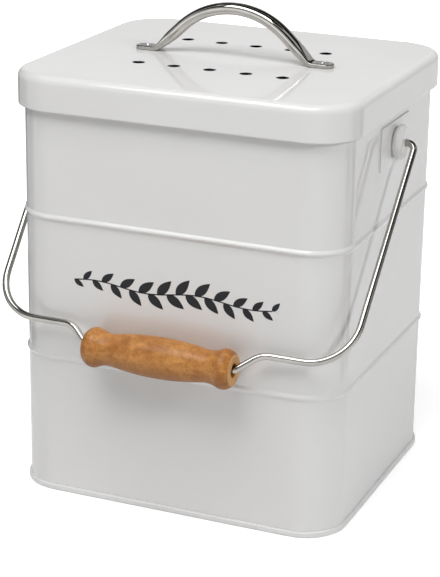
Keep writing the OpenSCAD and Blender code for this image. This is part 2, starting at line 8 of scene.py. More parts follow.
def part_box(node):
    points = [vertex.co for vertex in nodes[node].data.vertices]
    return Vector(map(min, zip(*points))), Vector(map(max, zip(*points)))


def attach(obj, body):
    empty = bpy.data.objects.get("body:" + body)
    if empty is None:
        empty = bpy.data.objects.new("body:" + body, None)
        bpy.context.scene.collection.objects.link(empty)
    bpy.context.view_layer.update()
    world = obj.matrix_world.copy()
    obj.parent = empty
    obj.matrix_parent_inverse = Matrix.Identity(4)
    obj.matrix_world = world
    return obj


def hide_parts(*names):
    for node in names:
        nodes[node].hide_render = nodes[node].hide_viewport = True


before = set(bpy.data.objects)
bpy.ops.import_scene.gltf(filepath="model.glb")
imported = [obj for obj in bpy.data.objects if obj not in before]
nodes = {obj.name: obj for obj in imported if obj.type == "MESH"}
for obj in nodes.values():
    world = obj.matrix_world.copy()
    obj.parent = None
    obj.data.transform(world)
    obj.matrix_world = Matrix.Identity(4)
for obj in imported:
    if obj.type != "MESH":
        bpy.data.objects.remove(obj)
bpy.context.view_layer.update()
scene = bpy.context.scene
MM = 0.001

# Sizes in millimetres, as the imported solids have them
BIN_W, BIN_D, BIN_H, CORNER_R = 200.0, 176.0, 246.2, 24.5
SHEET = 0.7
BEADS, BEAD_OUT, BEAD_H = (85.5, 170.0), 1.2, 4.6
PIVOT_Z, BOSS_X, BOSS_R, BOSS_LEN, BOSS_ROUND, SOCKET_DEPTH = 214.5, 101.05, 10.3, 6.2, 3.0, 6.8
LID_OUT, LID_LOW, LID_TOP, LID_EDGE = 3.8, 232.5, 253.1, 4.8
VENT_R, VENT_PITCH, ROW_PITCH, VENT_COUNT = 3.7, 22.2, 70.0, 5
SCREW_X, FOOT_T, FOOT_W, FOOT_OUT = 55.0, 2.4, 10.0, 7.0
BAR_W, BAR_T, LEG_SLOPE, LEG_X, BAR_RISE, ARCH_R = 9.0, 7.0, 43.3, 49.2, 32.2, 47.2
WIRE_D, GRIP_LEN, GRIP_R, WAIST_R, BULB_TOP, BULB_R = 4.1, 91.0, 11.9, 9.3, 11.6, 6.3
BAR_REACH, GRIP_REACH, LEG_OUT, LEG_DRAW = 140.5, 152.0, 112.8, 3.5
BAIL_LEAN = math.asin((BIN_D / 2 + GRIP_R + 1.6) / GRIP_REACH)


# The camera, at the photograph's angle: degrees, then millimetres, then the photograph's pixels

CAMERA_AZIMUTH, CAMERA_ELEVATION, CAMERA_ROLL = 22.783, 19.241, 0.853
CAMERA_AIM, CAMERA_DISTANCE, SENSOR = (-6.29, 0, 109.74), 1178.98, 36
FOCAL_PIXELS, PHOTO_HEIGHT = 1940.3, 577


def added(name, data):
    """A new object of the scene."""
    made = bpy.data.objects.new(name, data)
    scene.collection.objects.link(made)
    return made


def place_camera():
    azimuth, elevation, roll = (math.radians(a) for a in (CAMERA_AZIMUTH, CAMERA_ELEVATION, CAMERA_ROLL))
    back = Vector((math.sin(azimuth) * math.cos(elevation), -math.cos(azimuth) * math.cos(elevation),
                   math.sin(elevation)))
    right = Vector((math.cos(azimuth), math.sin(azimuth), 0))
    up = back.cross(right)
    tilted_right = right * math.cos(roll) + up * math.sin(roll)
    tilted_up = up * math.cos(roll) - right * math.sin(roll)
    data = bpy.data.cameras.new("camera")
    data.sensor_width = SENSOR
    data.lens = FOCAL_PIXELS * SENSOR / PHOTO_HEIGHT
    data.clip_start, data.clip_end = 0.05, 50
    scene.camera = added("camera", data)
    turn = Matrix((tilted_right, tilted_up, back)).transposed()
    place = (Vector(CAMERA_AIM) + back * CAMERA_DISTANCE) * MM
    scene.camera.matrix_world = Matrix.Translation(place) @ turn.to_4x4()


place_camera()


# Node trees written as expressions

class Value:
    """A node's output that takes part in sums."""

    def __init__(self, tree, socket):
        self.tree, self.socket = tree, socket

    def math(self, operation, *others):
        return self.tree.node("ShaderNodeMath", {"operation": operation}, (self, *others))

    def __add__(self, other):
        return self.math("ADD", other)

    def __sub__(self, other):
        return self.math("SUBTRACT", other)

    def __mul__(self, other):
        return self.math("MULTIPLY", other)

    def __truediv__(self, other):
        return self.math("DIVIDE", other)

    def __pow__(self, other):
        return self.math("POWER", other)

    __radd__, __rmul__ = __add__, __mul__

    def sine(self):
        return self.math("SINE")

    def part(self, name):
        return Value(self.tree, self.tree.pick(self.socket.node.outputs, name))


class Tree:
    """A node tree whose nodes all come from one method."""

    def __init__(self, tree):
        self.tree = tree

    @staticmethod
    def pick(sockets, key):
        if isinstance(key, int):
            return sockets[key]
        return next(s for s in sockets if key in (s.identifier, s.name))

    def node(self, kind, settings=None, inputs=(), out=0):
        made = self.tree.nodes.new(kind)
        for name, value in (settings or {}).items():
            setattr(made, name, value)
        pairs = inputs.items() if isinstance(inputs, dict) else enumerate(inputs)
        for key, value in pairs:
            socket = self.pick(made.inputs, key)
            if isinstance(value, (Value, list)):
                for one in value if isinstance(value, list) else [value]:
                    self.tree.links.new(one.socket, socket)
            else:
                socket.default_value = value
        return Value(self, self.pick(made.outputs, out)) if made.outputs else made


class Finish(Tree):
    """A material with one Principled shader, painted in the piece's own coordinates.

    An underscore in the name of a value stands for a space.
    """

    def __init__(self, name, **values):
        self.material = bpy.data.materials.new(name)
        self.material.use_nodes = True
        super().__init__(self.material.node_tree)
        self.tree.nodes.clear()
        self.shader = self.node("ShaderNodeBsdfPrincipled")
        self.output = self.node("ShaderNodeOutputMaterial", {}, {"Surface": self.shader})
        self.place = self.node("ShaderNodeTexCoord", {}, (), "Object")
        self.set(**values)

    def set(self, **values):
        for key, value in values.items():
            socket = self.pick(self.shader.socket.node.inputs, key.replace("_", " "))
            if isinstance(value, Value):
                self.tree.links.new(value.socket, socket)
            elif socket.type == "RGBA":
                socket.default_value = (*value, 1)
            else:
                socket.default_value = value

    def stretched(self, x=1.0, y=1.0, z=1.0, place=(0, 0, 0)):
        return self.node("ShaderNodeMapping", {},
                         {"Vector": self.place, "Location": place, "Scale": (x, y, z)})

    def noise(self, scale, detail=2.0, rough=0.5, at=None, twist=0.0):
        return self.node("ShaderNodeTexNoise", {},
                         {"Vector": at or self.place, "Scale": scale, "Detail": detail, "Roughness": rough,
                          "Distortion": twist})

    def step(self, value, low, high, to_low=0.0, to_high=1.0):
        return self.node("ShaderNodeMapRange", {"interpolation_type": "SMOOTHSTEP"},
                         {"Value": value, "From Min": low, "From Max": high,
                          "To Min": to_low, "To Max": to_high})

    def mixed(self, factor, one, other):
        pair = {"Factor_Float": factor}
        for key, colour in (("A_Color", one), ("B_Color", other)):
            pair[key] = colour if isinstance(colour, Value) else (*colour, 1)
        return self.node("ShaderNodeMix", {"data_type": "RGBA"}, pair, "Result_Color")

    def relief(self, height, strength, depth):
        bump = self.node("ShaderNodeBump", {}, {"Height": height, "Strength": strength, "Distance": depth})
        self.set(Normal=bump)


class Growth(Tree):
    """A Geometry Nodes tree with named sizes."""

    KINDS = {float: "NodeSocketFloat", int: "NodeSocketInt", bpy.types.Material: "NodeSocketMaterial"}

    def __init__(self, name, **sizes):
        super().__init__(bpy.data.node_groups.new(name, "GeometryNodeTree"))
        self.tree.interface.new_socket("Geometry", in_out="INPUT", socket_type="NodeSocketGeometry")
        self.tree.interface.new_socket("Geometry", in_out="OUTPUT", socket_type="NodeSocketGeometry")
        for size, kind in sizes.items():
            self.tree.interface.new_socket(size, in_out="INPUT", socket_type=self.KINDS[kind])
        self.entry = self.tree.nodes.new("NodeGroupInput")
        self.base = self.size("Geometry")

    def size(self, name):
        return Value(self, self.entry.outputs[name])

    def rounded_rectangle(self):
        """The outline that the sizes width, depth, corner and steps give."""
        box = self.node("GeometryNodeCurvePrimitiveQuadrilateral", {"mode": "RECTANGLE"},
                        {"Width": self.size("width"), "Height": self.size("depth")})
        return self.node("GeometryNodeFilletCurve", {"mode": "POLY"},
                         {"Curve": box, "Count": self.size("steps"), "Radius": self.size("corner")})

    def circle(self, steps, radius):
        return self.node("GeometryNodeCurvePrimitiveCircle", {"mode": "RADIUS"},
                         {"Resolution": steps, "Radius": radius})

    def line_as_curve(self):
        return self.node("GeometryNodeMeshToCurve", {}, [self.base])

    def swept(self, path, section):
        """A section swept along a path that lies flat."""
        path = self.node("GeometryNodeSetCurveNormal", {"mode": "Z_UP"}, [path])
        return self.node("GeometryNodeCurveToMesh", {}, {"Curve": path, "Profile Curve": section})

    def copies(self, places, piece):
        placed = self.node("GeometryNodeInstanceOnPoints", {}, {"Points": places, "Instance": piece})
        return self.node("GeometryNodeRealizeInstances", {}, [placed])

    def lifted(self, geometry, height):
        lift = self.node("ShaderNodeCombineXYZ", {}, {"Z": height})
        return self.node("GeometryNodeSetPosition", {}, {"Geometry": geometry, "Offset": lift})

    def ends(self, geometry):
        real = self.node("GeometryNodeRealizeInstances", {}, [geometry])
        painted = self.node("GeometryNodeSetMaterial", {}, {"Geometry": real, "Material": self.size("finish")})
        self.node("NodeGroupOutput", {}, [painted])
        return self

    def grow(self, name, points, edges, attribute=None, **sizes):
        """Runs the tree on a line of points and keeps the result as a plain mesh."""
        mesh = bpy.data.meshes.new(name)
        mesh.from_pydata([Vector(p) * MM for p in points], edges, [])
        if attribute:
            label, values = attribute
            mesh.attributes.new(label, "FLOAT", "POINT").data.foreach_set("value", [v * MM for v in values])
        piece = added(name, mesh)
        modifier = piece.modifiers.new("growth", "NODES")
        modifier.node_group = self.tree
        for item in self.tree.interface.items_tree:
            if item.in_out == "INPUT" and item.name in sizes:
                modifier[item.identifier] = sizes[item.name]
        keep_shape(piece)
        return piece


def keep_shape(piece):
    """Turns what a piece's modifiers make into its own plain mesh."""
    bpy.context.view_layer.update()
    graph = bpy.context.evaluated_depsgraph_get()
    mesh = bpy.data.meshes.new_from_object(piece.evaluated_get(graph), preserve_all_data_layers=True,
                                           depsgraph=graph)
    piece.modifiers.clear()
    piece.data = mesh


def loop(points):
    """Edges that close a line of points."""
    return [(i, (i + 1) % len(points)) for i in range(len(points))]


def line(points):
    """Edges that join a line of points from end to end."""
    return [(i, i + 1) for i in range(len(points) - 1)]


def arc(x, y, r, start, end, steps):
    """Points of an arc round (x, y), from one angle in degrees to another."""
    turn = [math.radians(start + (end - start) * i / steps) for i in range(steps + 1)]
    return [(x + r * math.cos(a), y + r * math.sin(a)) for a in turn]


def upright(section, about=0.0):
    """A section of (distance out, height) as the sweeps take it."""
    return [(out - about, -height, 0) for out, height in section]


def swept_round():
    """A closed section swept round a rectangle with round corners."""
    tree = Growth("section_round_the_bin", width=float, depth=float, corner=float, steps=int,
                  finish=bpy.types.Material)
    return tree.ends(tree.swept(tree.rounded_rectangle(), tree.line_as_curve()))


# Radius of the circle that a lathe's section is swept round
TURN_R = 20.0


def turned():
    """A section turned round the Z axis."""
    tree = Growth("section_turned_on_a_lathe", steps=int, finish=bpy.types.Material)
    return tree.ends(tree.swept(tree.circle(tree.size("steps"), TURN_R * MM), tree.line_as_curve()))


def bent_wire():
    """A round wire along a line of points with a bend radius at each."""
    tree = Growth("wire_bent_through_points", radius=float, steps=int, sides=int, finish=bpy.types.Material)
    bend = tree.node("GeometryNodeInputNamedAttribute", {"data_type": "FLOAT"}, {"Name": "bend"}, "Attribute")
    path = tree.node("GeometryNodeFilletCurve", {"mode": "POLY"},
                     {"Curve": tree.line_as_curve(), "Count": tree.size("steps"), "Radius": bend})
    section = tree.circle(tree.size("sides"), tree.size("radius"))
    return tree.ends(tree.node("GeometryNodeCurveToMesh", {},
                               {"Curve": path, "Profile Curve": section, "Fill Caps": True}))


# Points round a vent hole
HOLE_STEPS = 40


def vented_plate():
    """The lid's flat top: two skins with rows of holes, and a rounded rim in every hole."""
    tree = Growth("lid_top_with_vent_holes", width=float, depth=float, corner=float, steps=int, count=int,
                  pitch=float, rows=float, hole=float, rim=float, flare=float, sheet=float, top=float,
                  finish=bpy.types.Material)
    outline = tree.rounded_rectangle()
    places = tree.node("GeometryNodeMeshGrid", {},
                       {"Size X": tree.size("pitch") * (tree.size("count") - 1), "Size Y": tree.size("rows"),
                        "Vertices X": tree.size("count"), "Vertices Y": 2}, "Mesh")

    def skin(radius, height):
        holes = tree.copies(places, tree.circle(HOLE_STEPS, radius))
        both = tree.node("GeometryNodeJoinGeometry", {}, [[outline, holes]])
        return tree.lifted(tree.node("GeometryNodeFillCurve", {"mode": "TRIANGLES"}, [both]), height)

    upper = skin(tree.size("hole") + tree.size("rim"), tree.size("top"))
    lower = skin(tree.size("hole") + tree.size("flare"), tree.size("top") - tree.size("sheet"))
    lip = tree.swept(tree.circle(HOLE_STEPS, tree.size("hole")), tree.line_as_curve())
    lips = tree.lifted(tree.copies(places, lip), tree.size("top"))
    return tree.ends(tree.node("GeometryNodeJoinGeometry", {}, [[upper, lower, lips]]))


def joined(name, *pieces):
    """Puts several pieces into one mesh."""
    mesh = bpy.data.meshes.new(name)
    shape = bmesh.new()
    for piece in pieces:
        shape.from_mesh(piece.data)
    mesh.materials.append(pieces[0].data.materials[0])
    shape.to_mesh(mesh)
    shape.free()
    for piece in pieces:
        bpy.data.objects.remove(piece)
    return added(name, mesh)


# How near two points are merged, in millimetres
MERGE = 0.004


def close(piece, reach=MERGE):
    """Merges doubles and points every face outwards."""
    shape = bmesh.new()
    shape.from_mesh(piece.data)
    bmesh.ops.remove_doubles(shape, verts=shape.verts, dist=reach * MM)
    bmesh.ops.dissolve_degenerate(shape, edges=shape.edges, dist=1e-7)
    bmesh.ops.recalc_face_normals(shape, faces=shape.faces)
    shape.to_mesh(piece.data)
    shape.free()
    return piece


def settle(piece, body, slot, *replaced, crease=35, reach=MERGE):
    """Closes and smooths a piece and hands it to the body it moves with."""
    close(piece, reach)
    for polygon in piece.data.polygons:
        polygon.use_smooth = True
    piece.data.set_sharp_from_angle(angle=math.radians(crease))
    weighted = piece.modifiers.new("weighted", "WEIGHTED_NORMAL")
    weighted.keep_sharp, weighted.weight = True, 80
    keep_shape(piece)
    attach(piece, body)
    if replaced:
        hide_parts(*replaced)
    return piece


def faced(name, points, faces, finish):
    mesh = bpy.data.meshes.new(name)
    mesh.from_pydata(points, [], faces)
    mesh.materials.append(finish)
    return added(name, mesh)


def solid(name, rings, finish):
    """A closed skin through rings of points, capped at both ends."""
    count = len(rings[0])
    points = [Vector(p) * MM for ring in rings for p in ring]
    faces = [(a * count + i, a * count + (i + 1) % count, (a + 1) * count + (i + 1) % count, (a + 1) * count + i)
             for a in range(len(rings) - 1) for i in range(count)]
    faces += [tuple(range(count)), tuple((len(rings) - 1) * count + i for i in range(count))]
    return faced(name, points, faces, finish)


def cut(piece, *cutters):
    """Takes the cutters' shapes out of a piece."""
    for cutter in cutters:
        close(cutter)
        boolean = piece.modifiers.new("cut", "BOOLEAN")
        boolean.operation, boolean.solver, boolean.object = "DIFFERENCE", "EXACT", cutter
        keep_shape(piece)
        bpy.data.objects.remove(cutter)
    return piece


def smoothed(node, name, body, slot, finish):
    """A copy of a node's own mesh with its doubles merged and its curves smooth."""
    mesh = nodes[node].data.copy()
    mesh.materials.clear()
    mesh.materials.append(finish)
    return settle(added(name, mesh), body, slot, node, crease=30, reach=MERGE / 2)


# Finishes

def powder_coat():
    """Glossy off-white powder coat with a faint orange peel."""
    coat = Finish("white_powder_coat", Coat_Roughness=0.07, Specular_IOR_Level=0.3)
    tone = coat.step(coat.noise(14, 2), 0.3, 0.7)
    coat.set(Base_Color=coat.mixed(tone, (0.80, 0.795, 0.785), (0.82, 0.815, 0.81)),
             Roughness=0.4 + 0.1 * coat.noise(60, 3), Coat_Weight=0.75 + 0.15 * coat.noise(25, 1))
    peel = coat.noise(420, 1.5) + 0.4 * coat.noise(1500, 2)
    coat.relief(peel, 0.035, 0.0003)
    return coat.material


def polished_steel():
    """Stainless bar and wire, polished over fine drawing marks."""
    steel = Finish("polished_stainless", Metallic=1.0)
    cloud = steel.step(steel.noise(90, 3), 0.3, 0.7)
    marks = steel.noise(700, 3, 0.6, steel.stretched(0.12, 1, 0.5))
    steel.set(Base_Color=steel.mixed(cloud, (0.42, 0.405, 0.38), (0.50, 0.485, 0.46)),
              Roughness=0.05 + 0.04 * marks)
    steel.relief(marks, 0.012, 0.0001)
    return steel.material


def zinc_plate():
    """Bright zinc on the screws, washers and nuts."""
    zinc = Finish("bright_zinc", Metallic=1.0)
    cloud = zinc.noise(500, 3)
    zinc.set(Base_Color=zinc.mixed(cloud, (0.58, 0.59, 0.60), (0.70, 0.70, 0.69)),
             Roughness=0.25 + 0.15 * zinc.noise(900, 2))
    zinc.relief(zinc.noise(1800, 2), 0.08, 0.00005)
    return zinc.material


def moulded(name, low, high, rough, grain, gloss=0.5):
    """Moulded plastic with a spark-eroded grain."""
    plastic = Finish(name, Specular_IOR_Level=gloss)
    texture = plastic.noise(grain, 3, 0.6)
    plastic.set(Base_Color=plastic.mixed(plastic.step(plastic.noise(20, 3), 0.3, 0.7), low, high),
                Roughness=rough + 0.14 * texture)
    plastic.relief(texture, 0.12, 0.00015)
    return plastic.material


def silicone():
    """Soft white silicone of the lid's seal."""
    rubber = Finish("white_silicone")
    rubber.set(Base_Color=rubber.mixed(rubber.noise(60, 2), (0.70, 0.70, 0.69), (0.80, 0.80, 0.79)),
               Roughness=0.45 + 0.2 * rubber.noise(300, 2))
    rubber.relief(rubber.noise(1200, 2), 0.06, 0.0001)
    return rubber.material


def carbon_felt():
    """Needled black felt: a mat of fibres with small grains of carbon in it."""
    felt = Finish("carbon_felt", Sheen_Weight=0.04, Sheen_Roughness=0.6, Specular_IOR_Level=0.2)
    along = felt.noise(900, 3, 0.7, felt.stretched(0.25, 1, 1), 0.6)
    across = felt.noise(900, 3, 0.7, felt.stretched(1, 0.25, 1), 0.6)
    fibres = along.math("MAXIMUM", across)
    grains = felt.node("ShaderNodeTexVoronoi", {"feature": "F1"}, {"Vector": felt.place, "Scale": 700.0})
    mat = felt.step(fibres, 0.45, 0.7)
    felt.set(Base_Color=felt.mixed(mat, (0.008, 0.008, 0.009), (0.03, 0.03, 0.032)),
             Roughness=felt.step(grains, 0.1, 0.5, 0.55, 0.95))
    felt.relief(fibres + 0.3 * grains, 0.6, 0.0004)
    return felt.material


# Moves the coordinates so that the wood's rings lie round the grip, in metres
GRIP_HEART = (0, 0.102, -0.101)
# How far the end grain's tone reaches in from the grip's ends
END_GRAIN = (0.0005, 0.0002)


def turned_wood():
    """Varnished birch turned along X.

    Soft mottling, faint rings cut lengthwise, dark flecks, bulbs darker towards the ends, pale end grain, and
    painted shade that darkens the grip's underside.
    """
    wood = Finish("varnished_wood", Coat_Roughness=0.24, Specular_IOR_Level=0.3)
    flow = wood.noise(30, 3, 0.55, wood.stretched(0.2, 1, 1))
    cloud = wood.noise(95, 5, 0.72, wood.stretched(0.6, 1, 1), 0.4)
    centre = wood.node("ShaderNodeSeparateXYZ", {}, [wood.stretched(place=GRIP_HEART)])
    across = (centre.part("Y") ** 2 + centre.part("Z") ** 2) ** 0.5
    along = centre.part("X").math("ABSOLUTE")
    rings = wood.step((across * 2600 + flow * 16).sine(), -0.3, 1.0)
    streaks = wood.noise(420, 4, 0.7, wood.stretched(0.1, 1, 1))
    flecks = wood.noise(900, 2, 0.5, wood.stretched(0.16, 1, 1))
    # Darker from the waists out over the bulbs, broken up by noise
    darker_bulbs = wood.step(along, 0.030, 0.041) * wood.step(wood.noise(130, 3, 0.6), 0.4, 0.65)
    tone = wood.mixed(wood.step(cloud, 0.36, 0.66), (0.64, 0.295, 0.078), (0.36, 0.135, 0.028))
    figure = wood.noise(260, 4, 0.7, wood.stretched(1, 0.7, 0.7), 0.8)
    tone = wood.mixed(wood.step(figure, 0.45, 0.66) * 0.45, tone, (0.30, 0.098, 0.019))
    tone = wood.mixed(rings * 0.12 + wood.step(streaks, 0.48, 0.75) * 0.18, tone, (0.32, 0.105, 0.020))
    # Painted shade: the grip turns darker towards its underside, broken up by the mottling
    painted_underside_shade = wood.step(centre.part("Z") * 90 + cloud + flow * 0.6, -0.45, 1.2, 1.0, 0.0)
    tone = wood.mixed(darker_bulbs * 0.6, tone, (0.24, 0.068, 0.013))
    tone = wood.mixed(painted_underside_shade * 0.75, tone, (0.21, 0.070, 0.016))
    tone = wood.mixed(wood.step(flecks, 0.62, 0.74) * 0.4, tone, (0.15, 0.042, 0.009))
    end_grain = wood.step(along, *(GRIP_LEN / 2 * MM - reach for reach in END_GRAIN))
    tone = wood.mixed(end_grain * 0.75, tone, (0.66, 0.36, 0.13))
    wood.set(Base_Color=tone, Roughness=0.42 + 0.14 * streaks, Coat_Weight=0.08 + 0.12 * streaks)
    wood.relief(streaks * 0.5 + flecks, 0.1, 0.0002)
    return wood.material


def printing_ink():
    """Dark ink, screen printed and baked."""
    ink = Finish("charcoal_ink", Specular_IOR_Level=0.3)
    ink.set(Base_Color=ink.mixed(ink.noise(500, 3), (0.008, 0.009, 0.012), (0.016, 0.017, 0.021)),
            Roughness=0.4 + 0.15 * ink.noise(800, 2))
    ink.relief(ink.noise(1500, 2), 0.05, 0.00005)
    return ink.material


paint = powder_coat()
steel = polished_steel()
zinc = zinc_plate()
bucket_plastic = moulded("light_grey_plastic", (0.68, 0.69, 0.70), (0.71, 0.72, 0.73), 0.42, 1600)
filter_plastic = moulded("black_plastic", (0.008, 0.008, 0.009), (0.015, 0.015, 0.016), 0.6, 1800, gloss=0.03)
silicone_white = silicone()
felt_black = carbon_felt()
wood_varnished = turned_wood()
ink = printing_ink()

round_the_bin = swept_round()
on_a_lathe = turned()
through_points = bent_wire()
lid_plate = vented_plate()
CORNER_STEPS = 28


def edges_of(points, closed):
    return loop(points) if closed else line(points)


def plan(outgrown):
    """The bin's rectangle with round corners, grown outwards."""
    return {"width": (BIN_W + 2 * outgrown) * MM, "depth": (BIN_D + 2 * outgrown) * MM,
            "corner": (CORNER_R + outgrown) * MM, "steps": CORNER_STEPS}


def sweep(name, section, outgrown=0.0, closed=True):
    """A section swept round the bin, its zero line set out from the bin's wall."""
    points = upright(section)
    return round_the_bin.grow(name, points, edges_of(points, closed), **plan(outgrown), finish=paint)


def lathe(name, section, finish, steps, closed=True):
    points = upright(section, TURN_R)
    return on_a_lathe.grow(name, points, edges_of(points, closed), steps=steps, finish=finish)


# The bin

# Beads: how sharply they swell, points over one, and how far plain wall is kept flat beside it
BEAD_SHAPE, BEAD_STEPS, BEAD_SIDE = 1.6, 16, 12
# Heights of the plain wall's ends, and the rolled rim's radius and centre
WALL_FOOT, WALL_TOP, ROLL_R, ROLL_OUT = 0.75, 236.0, 1.1, 0.4


def bead_swell(z):
    """How far the wall stands out at a height, for the soft beads pressed in it."""
    for centre in BEADS:
        if abs(z - centre) < BEAD_H / 2:
            return BEAD_OUT * math.cos(math.pi * (z - centre) / BEAD_H) ** BEAD_SHAPE
    return 0.0


def bin_wall():
    heights = [WALL_FOOT, 8.0, 20.0]
    for centre in BEADS:
        pressed = [centre - BEAD_H / 2 + BEAD_H * i / BEAD_STEPS for i in range(BEAD_STEPS + 1)]
        heights += [centre - BEAD_SIDE, *pressed, centre + BEAD_SIDE]
    heights += [WALL_TOP]
    outer = [(bead_swell(z), z) for z in heights]
    roll = arc(ROLL_OUT, BIN_H - ROLL_R, ROLL_R, -111.3, 180, 18)
    inner = [(bead_swell(z) - SHEET, z) for z in reversed(heights)]
    return settle(sweep("bin_skin", outer + roll + inner), "bin", "white_paint", "bin_wall")


bin_wall()
smoothed("base_panel", "base_and_seam", "bin", "white_paint", paint)


EAR_X, EAR_W, EAR_H, EAR_R = 100.05, 50.0, 25.5, 2.0
# Steps of an ear plate out from the wall, each with how far its edge draws in
EAR_STEPS = ((0, 0), (0.62, 0), (0.84, 0.1), (1.0, 0.38))
RIVET_R, RIVET_HEAD_R, SOCKET_GAP = 3.25, 5.25, 0.1


def ear(side):
    """Plate on the wall and the round boss that takes the bail's end."""
    label = "left" if side < 0 else "right"
    outline = []
    half_w, half_h = EAR_W / 2 - EAR_R, EAR_H / 2 - EAR_R
    for x, y, start in ((half_w, half_h, 0), (-half_w, half_h, 90), (-half_w, -half_h, 180),
                        (half_w, -half_h, 270)):
        outline += arc(x, y, EAR_R, start, start + 90, 6)
    rings = [[(EAR_X + depth, x - math.copysign(inset, x), y - math.copysign(inset, y)) for x, y in outline]
             for depth, inset in EAR_STEPS]
    plate = solid("ear_plate_" + label + "_skin", rings, paint)
    plate.data.transform(Matrix.Translation((0, 0, PIVOT_Z * MM)))
    face, hole = BOSS_LEN, WIRE_D / 2 + SOCKET_GAP
    socket = [(0, face - SOCKET_DEPTH), (hole, face - SOCKET_DEPTH), (hole, face - 0.35),
              (hole + 0.1, face - 0.1), (hole + 0.35, face), (BOSS_R - BOSS_ROUND - 0.4, face)]
    flank = arc(BOSS_R - BOSS_ROUND, face - BOSS_ROUND + 0.05, BOSS_ROUND, 76, -62, 18)
    neck = [(8.5, 0.5), (8.27, 0.35), (8.35, 0.12), (8.6, 0.02)]
    rivet = [(RIVET_R, 0), (RIVET_R, -1.8), (RIVET_HEAD_R, -1.8), (RIVET_HEAD_R, -2.1), (4.6, -2.7),
             (3.4, -2.95), (0, -3.0)]
    section = socket + flank + neck + rivet
    boss = lathe("ear_boss_" + label + "_turned", section, paint, steps=72, closed=False)
    boss.data.transform(Matrix.Translation((BOSS_X * MM, 0, PIVOT_Z * MM))
                        @ Matrix.Rotation(math.pi / 2, 4, "Y"))
    for piece in (plate, boss):
        if side < 0:
            piece.data.transform(Matrix.Scale(-1, 4, (1, 0, 0)))
    settle(plate, "bin", "white_paint", "ear_plate_" + label, crease=50)
    settle(boss, "bin", "white_paint", "ear_boss_" + label, crease=40)


ear(-1)
ear(1)


# The lid

# Hem of the skirt, then a vent hole's rounded rim, how deep its wall is straight, and how far it opens below
HEM_R, HOLE_RIM, HOLE_LAND, HOLE_FLARE = 0.9, 0.22, 0.34, 0.5
# How near the lid's skirt and its flat top are joined into one sheet
SEAM_REACH = 0.1


def lid():
    low, top = LID_LOW, LID_TOP
    section = arc(-LID_EDGE, top - LID_EDGE, LID_EDGE - SHEET, 90, 0, 10) + [(-SHEET, low + 1.9)]
    section += arc(-HEM_R, low + HEM_R, HEM_R, 75, 350, 20) + [(0, low + 1.2), (0, low + 6)]
    section += arc(-LID_EDGE, top - LID_EDGE, LID_EDGE, 0, 90, 16)
    skirt = sweep("lid_skirt", section, LID_OUT, closed=False)
    lip = [(HOLE_RIM * out, HOLE_RIM * down, 0)
           for out, down in ((1, 0), (0.62, 0.07), (0.29, 0.29), (0.07, 0.62), (0, 1))]
    lip += [(0, HOLE_LAND, 0), (HOLE_FLARE, SHEET, 0)]
    plate = lid_plate.grow("lid_plate", lip, line(lip), **plan(LID_OUT - LID_EDGE), count=VENT_COUNT,
                           pitch=VENT_PITCH * MM, rows=ROW_PITCH * MM, hole=VENT_R * MM, rim=HOLE_RIM * MM,
                           flare=HOLE_FLARE * MM, sheet=SHEET * MM, top=top * MM, finish=paint)
    pressing = joined("lid_pressing", skirt, plate)
    return settle(pressing, "lid", "white_paint", "lid_shell", reach=SEAM_REACH)


lid()


# Hollow between leg and foot, where the leg starts to flatten before it, and how flat it is there
FOOT_BEND_R, FLATTEN_FROM, FLAT_AT_BEND = 7.0, 12.5, 0.62
# Rings along the arch, the leg, the hollow and the foot's round end, and points round a ring
ARCH_STEPS, LEG_STEPS, HOLLOW_STEPS, TIP_STEPS, BAR_STEPS = 14, 12, 8, 11, 40


def handle_middle():
    """Half the handle's middle line: distance out, height, slope and how flat the bar is."""
    slope = math.radians(LEG_SLOPE)
    foot_z = FOOT_T / 2
    corner_x = LEG_X - foot_z / math.tan(slope)
    run = FOOT_BEND_R * math.tan(slope / 2)
    arch_z = BAR_RISE - BAR_T / 2 - ARCH_R
    half = []
    for i in range(ARCH_STEPS + 1):
        a = slope * i / ARCH_STEPS
        half.append((ARCH_R * math.sin(a), arch_z + ARCH_R * math.cos(a), a, 0.0))
    leg_from = Vector(half[-1][:2])
    leg_to = Vector((corner_x - run * math.cos(slope), foot_z + run * math.sin(slope)))
    for i in range(1, LEG_STEPS + 1):
        p = leg_from.lerp(leg_to, i / LEG_STEPS)
        flat = max(0.0, 1 - (leg_to - p).length / FLATTEN_FROM)
        half.append((p.x, p.y, slope, flat * FLAT_AT_BEND))
    for i in range(1, HOLLOW_STEPS + 1):
        a = slope * (1 - i / HOLLOW_STEPS)
        half.append((corner_x + run - FOOT_BEND_R * math.sin(a), foot_z + FOOT_BEND_R * (1 - math.cos(a)), a,
                     FLAT_AT_BEND + (1 - FLAT_AT_BEND) * i / HOLLOW_STEPS))
    round_r = FOOT_W / 2
    round_x = SCREW_X + FOOT_OUT - round_r
    for x in (round_x - 3, round_x):
        half.append((x, foot_z, 0.0, 1.0))
    for i in range(1, TIP_STEPS + 1):
        a = math.pi / 2 * i / TIP_STEPS
        half.append((round_x + (round_r - 0.03) * math.sin(a), foot_z, 0.0, 1.0))
    return half


